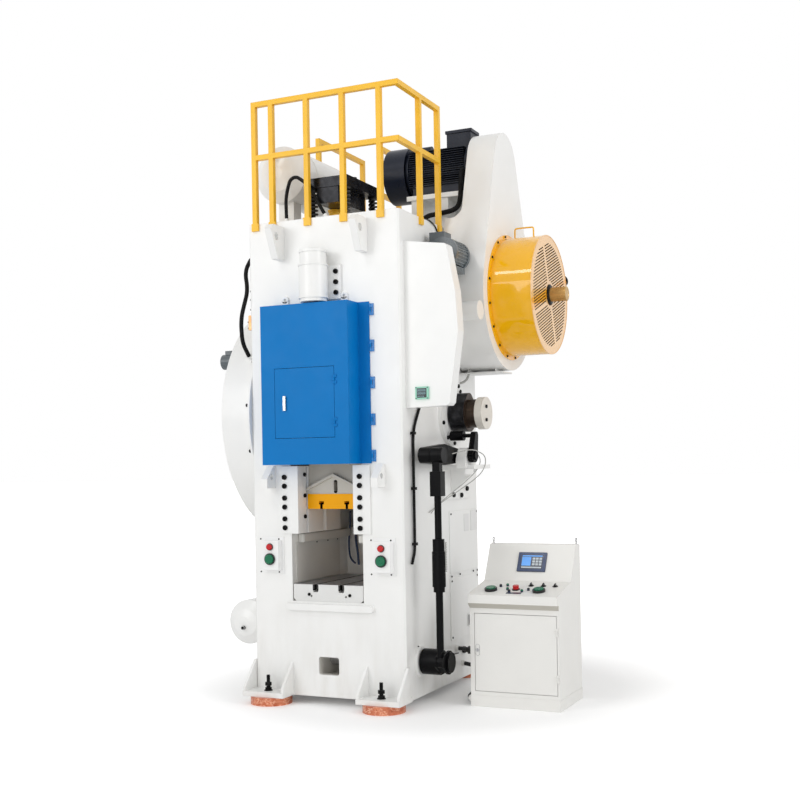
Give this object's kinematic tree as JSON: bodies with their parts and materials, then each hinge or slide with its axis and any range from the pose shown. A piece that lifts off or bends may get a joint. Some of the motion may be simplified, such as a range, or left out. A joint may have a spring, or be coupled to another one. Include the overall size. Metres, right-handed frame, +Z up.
{
  "type": "knuckle-joint stamping press",
  "caption": "Tall knuckle-joint stamping press with a bolster and slide, belt-driven flywheel, perforated drum guard, knock-out linkage, deck rails and a console.",
  "frame": {"origin": "on the floor, under the middle of the press frame", "axes": "+X to the operator's right, +Y from the front to the back, +Z up"},
  "size_m": [2.855, 2.315, 4.83],
  "materials": {
    "auxiliary_motors": "grey-blue enamel on ribbed motors",
    "balance_cylinder": "white enamel",
    "balance_springs": "black springs",
    "belt_guard": "off-white enamel sheet",
    "bolster": "ground steel with a pale painted front edge",
    "bull_gear": "oiled cast gear",
    "conduit_a": "black corrugated conduit",
    "conduit_b": "black corrugated conduit",
    "console_cabinet": "warm white textured powder coat",
    "console_door": "warm white textured powder coat",
    "console_latch": "plated paddle latch",
    "console_palm_left": "glossy green cap",
    "console_palm_right": "glossy green cap",
    "console_panel": "slate screen bezel, black and green switch bodies",
    "console_stop": "glossy red cap",
    "cover_door": "bright blue powder-coated sheet",
    "cover_latch": "plated paddle latch",
    "cylinder_clamp": "white enamel",
    "deck_tank": "white enamel tank",
    "drive_belts": "black ribbed rubber",
    "drum_guard": "bright yellow enamel, paler perforated end disc",
    "eccentric_rods": "machined casting",
    "eccentric_shaft": "ground steel",
    "fasteners": "blackened bolt heads",
    "flywheel": "machined casting",
    "foot_pads": "copper-coloured pads",
    "frame": "smooth off-white machine enamel, semi-gloss",
    "front_cover": "bright blue powder-coated sheet",
    "gear_cover": "off-white enamel sheet",
    "gibs": "off-white enamel outside, ground slide ways inside",
    "guard_rail": "bright yellow enamel square tube",
    "hand_stations": "white enamel boxes with black button rings",
    "knockout_cam": "oily black steel, brown hub",
    "knockout_lever": "black enamel casting",
    "knockout_pin": "ground steel",
    "knockout_shaft": "black enamel",
    "lever_bracket": "off-white enamel weldment",
    "lower_link": "machined forging",
    "main_motor": "blue-black enamel on a finned casting",
    "motor_base": "off-white enamel plate and brackets",
    "motor_rotor": "machined pulley and shaft",
    "palm_button_left": "glossy green cap",
    "palm_button_right": "glossy green cap",
    "pinion_shaft": "bronze-brown machined spindle",
    "pipes": "black hose and conduit",
    "pull_rod": "black enamel and blackened steel",
    "selector_1": "black handle",
    "selector_2": "black handle",
    "selector_3": "black handle",
    "side_covers": "off-white enamel",
    "side_guard": "off-white enamel sheet",
    "side_tank": "white enamel tank",
    "slide": "light beige-grey enamel",
    "slide_plate": "bright yellow-orange enamel",
    "spring_plate": "dark oily steel",
    "stop_button_left": "glossy red cap",
    "stop_button_right": "glossy red cap",
    "stroke_counter": "dark display in a pale green bezel",
    "upper_block": "machined casting",
    "upper_link": "machined forging"
  },
  "bodies": {
    "frame": {"auxiliary_motors": "auxiliary_motors", "balance_cylinder": "balance_cylinder", "balance_springs": "balance_springs", "belt_guard": "belt_guard", "bolster": "bolster", "conduit_a": "conduit_a", "conduit_b": "conduit_b", "console_cabinet": "console_cabinet", "console_panel": "console_panel", "cylinder_clamp": "cylinder_clamp", "deck_tank": "deck_tank", "drive_belts": "drive_belts", "drum_guard": "drum_guard", "fasteners": "fasteners", "foot_pads": "foot_pads", "frame": "frame", "gear_cover": "gear_cover", "gibs": "gibs", "guard_rail": "guard_rail", "hand_stations": "hand_stations", "lever_bracket": "lever_bracket", "main_motor": "main_motor", "motor_base": "motor_base", "pipes": "pipes", "side_covers": "side_covers", "side_guard": "side_guard", "side_tank": "side_tank", "spring_plate": "spring_plate", "stroke_counter": "stroke_counter", "upper_block": "upper_block"},
    "crank": {"eccentric_shaft": "eccentric_shaft", "bull_gear": "bull_gear", "knockout_cam": "knockout_cam"},
    "rods": {"eccentric_rods": "eccentric_rods"},
    "pinion": {"pinion_shaft": "pinion_shaft"},
    "flywheel": {"flywheel": "flywheel"},
    "motor_rotor": {"motor_rotor": "motor_rotor"},
    "upper_link": {"upper_link": "upper_link"},
    "lower_link": {"lower_link": "lower_link"},
    "slide": {"slide": "slide", "slide_plate": "slide_plate"},
    "front_cover": {"front_cover": "front_cover"},
    "cover_door": {"cover_door": "cover_door"},
    "cover_latch": {"cover_latch": "cover_latch"},
    "lever": {"knockout_lever": "knockout_lever"},
    "pull_rod": {"pull_rod": "pull_rod"},
    "knock_shaft": {"knockout_shaft": "knockout_shaft"},
    "knockout_pin": {"knockout_pin": "knockout_pin"},
    "console_door": {"console_door": "console_door"},
    "console_latch": {"console_latch": "console_latch"},
    "stop_button_left": {"stop_button_left": "stop_button_left"},
    "stop_button_right": {"stop_button_right": "stop_button_right"},
    "palm_button_left": {"palm_button_left": "palm_button_left"},
    "palm_button_right": {"palm_button_right": "palm_button_right"},
    "console_palm_left": {"console_palm_left": "console_palm_left"},
    "console_palm_right": {"console_palm_right": "console_palm_right"},
    "console_stop": {"console_stop": "console_stop"},
    "selector_1": {"selector_1": "selector_1"},
    "selector_2": {"selector_2": "selector_2"},
    "selector_3": {"selector_3": "selector_3"}
  },
  "joints": [
    {"name": "crank_turn", "type": "hinge", "parent": "frame", "child": "crank", "pos_m": [0, 0.19, 2.3], "axis": [1, 0, 0], "continuous": true},
    {"name": "rods_turn", "type": "hinge", "parent": "crank", "child": "rods", "pos_m": [0, 0.315, 2.3], "axis": [1, 0, 0], "continuous": true},
    {"name": "pinion_turn", "type": "hinge", "parent": "frame", "child": "pinion", "pos_m": [0, 0.54912, 3.28668], "axis": [1, 0, 0], "continuous": true},
    {"name": "flywheel_turn", "type": "hinge", "parent": "frame", "child": "flywheel", "pos_m": [0.97, 0.54912, 3.28668], "axis": [1, 0, 0], "continuous": true},
    {"name": "motor_turn", "type": "hinge", "parent": "frame", "child": "motor_rotor", "pos_m": [0.5, 0.51, 4.415], "axis": [1, 0, 0], "continuous": true},
    {"name": "toggle_swing", "type": "hinge", "parent": "frame", "child": "upper_link", "pos_m": [0, -0.37, 2.67417], "axis": [1, 0, 0], "range_deg": [-33.75, 0]},
    {"name": "lower_link_swing", "type": "hinge", "parent": "upper_link", "child": "lower_link", "pos_m": [0, -0.12, 2.3], "axis": [1, 0, 0], "range_deg": [0, 67.5]},
    {"name": "slide_swing", "type": "hinge", "parent": "lower_link", "child": "slide", "pos_m": [0, -0.37, 1.92583], "axis": [1, 0, 0], "range_deg": [-33.75, 0]},
    {"name": "cover_swing", "type": "hinge", "parent": "frame", "child": "front_cover", "pos_m": [0.418, -0.791, 2.5], "axis": [0, 0, 1], "range_deg": [0, 100]},
    {"name": "cover_door_swing", "type": "hinge", "parent": "front_cover", "child": "cover_door", "pos_m": [0.191, -0.976, 2.38], "axis": [0, 0, 1], "range_deg": [0, 100]},
    {"name": "cover_latch_turn", "type": "hinge", "parent": "cover_door", "child": "cover_latch", "pos_m": [-0.247, -0.97, 2.395], "axis": [0, 1, 0], "range_deg": [0, 90]},
    {"name": "lever_swing", "type": "hinge", "parent": "frame", "child": "lever", "pos_m": [0.8, 0.03, 1.95], "axis": [1, 0, 0], "range_deg": [0, 2]},
    {"name": "pull_rod_swing", "type": "hinge", "parent": "lever", "child": "pull_rod", "pos_m": [0.89, -0.62848, 1.955], "axis": [1, 0, 0], "range_deg": [-2, 0]},
    {"name": "knock_shaft_turn", "type": "hinge", "parent": "frame", "child": "knock_shaft", "pos_m": [0.5, -0.53, 0.35], "axis": [1, 0, 0], "range_deg": [0, 13.22]},
    {"name": "knockout_pin_lift", "type": "slide", "parent": "frame", "child": "knockout_pin", "axis": [0, 0, 1], "range_m": [0, 0.0369]},
    {"name": "console_door_swing", "type": "hinge", "parent": "frame", "child": "console_door", "pos_m": [1.753, -0.414, 0.42], "axis": [0, 0, 1], "range_deg": [0, 100]},
    {"name": "console_latch_turn", "type": "hinge", "parent": "console_door", "child": "console_latch", "pos_m": [1.112, -0.408, 0.44], "axis": [0, 1, 0], "range_deg": [0, 90]},
    {"name": "palm_press_left", "type": "slide", "parent": "frame", "child": "palm_button_left", "axis": [0, 1, 0], "range_m": [0, 0.006], "stiffness_N_per_m": 900, "springref_m": -0.01},
    {"name": "stop_press_left", "type": "slide", "parent": "frame", "child": "stop_button_left", "axis": [0, 1, 0], "range_m": [0, 0.006], "stiffness_N_per_m": 900, "springref_m": -0.01},
    {"name": "palm_press_right", "type": "slide", "parent": "frame", "child": "palm_button_right", "axis": [0, 1, 0], "range_m": [0, 0.006], "stiffness_N_per_m": 900, "springref_m": -0.01},
    {"name": "stop_press_right", "type": "slide", "parent": "frame", "child": "stop_button_right", "axis": [0, 1, 0], "range_m": [0, 0.006], "stiffness_N_per_m": 900, "springref_m": -0.01},
    {"name": "console_palm_press_left", "type": "slide", "parent": "frame", "child": "console_palm_left", "axis": [0, 0.2084, -0.978], "range_m": [0, 0.006], "stiffness_N_per_m": 900, "springref_m": -0.01},
    {"name": "console_palm_press_right", "type": "slide", "parent": "frame", "child": "console_palm_right", "axis": [0, 0.2084, -0.978], "range_m": [0, 0.006], "stiffness_N_per_m": 900, "springref_m": -0.01},
    {"name": "console_stop_press", "type": "slide", "parent": "frame", "child": "console_stop", "axis": [0, 0.2084, -0.978], "range_m": [0, 0.006], "stiffness_N_per_m": 900, "springref_m": -0.01},
    {"name": "selector_1_turn", "type": "hinge", "parent": "frame", "child": "selector_1", "pos_m": [1.485, -0.2, 0.92485], "axis": [0, -0.2084, 0.978], "range_deg": [-45, 45]},
    {"name": "selector_2_turn", "type": "hinge", "parent": "frame", "child": "selector_2", "pos_m": [1.585, -0.2, 0.92485], "axis": [0, -0.2084, 0.978], "range_deg": [-45, 45]},
    {"name": "selector_3_turn", "type": "hinge", "parent": "frame", "child": "selector_3", "pos_m": [1.68, -0.2, 0.92485], "axis": [0, -0.2084, 0.978], "range_deg": [-45, 45]}
  ],
  "couplings": [
    {"joint": "rods_turn", "follows": "crank_turn", "ratio": -1},
    {"joint": "pinion_turn", "follows": "crank_turn", "ratio": -6.1429},
    {"joint": "motor_turn", "follows": "flywheel_turn", "ratio": 4.4959},
    {"joint": "lower_link_swing", "follows": "toggle_swing", "ratio": -2},
    {"joint": "slide_swing", "follows": "toggle_swing", "ratio": 1},
    {"joint": "pull_rod_swing", "follows": "lever_swing", "ratio": -1},
    {"joint": "knock_shaft_turn", "follows": "lever_swing", "ratio": 6.61},
    {"joint": "knockout_pin_lift", "follows": "lever_swing", "m_per_rad": 1.0523}
  ]
}
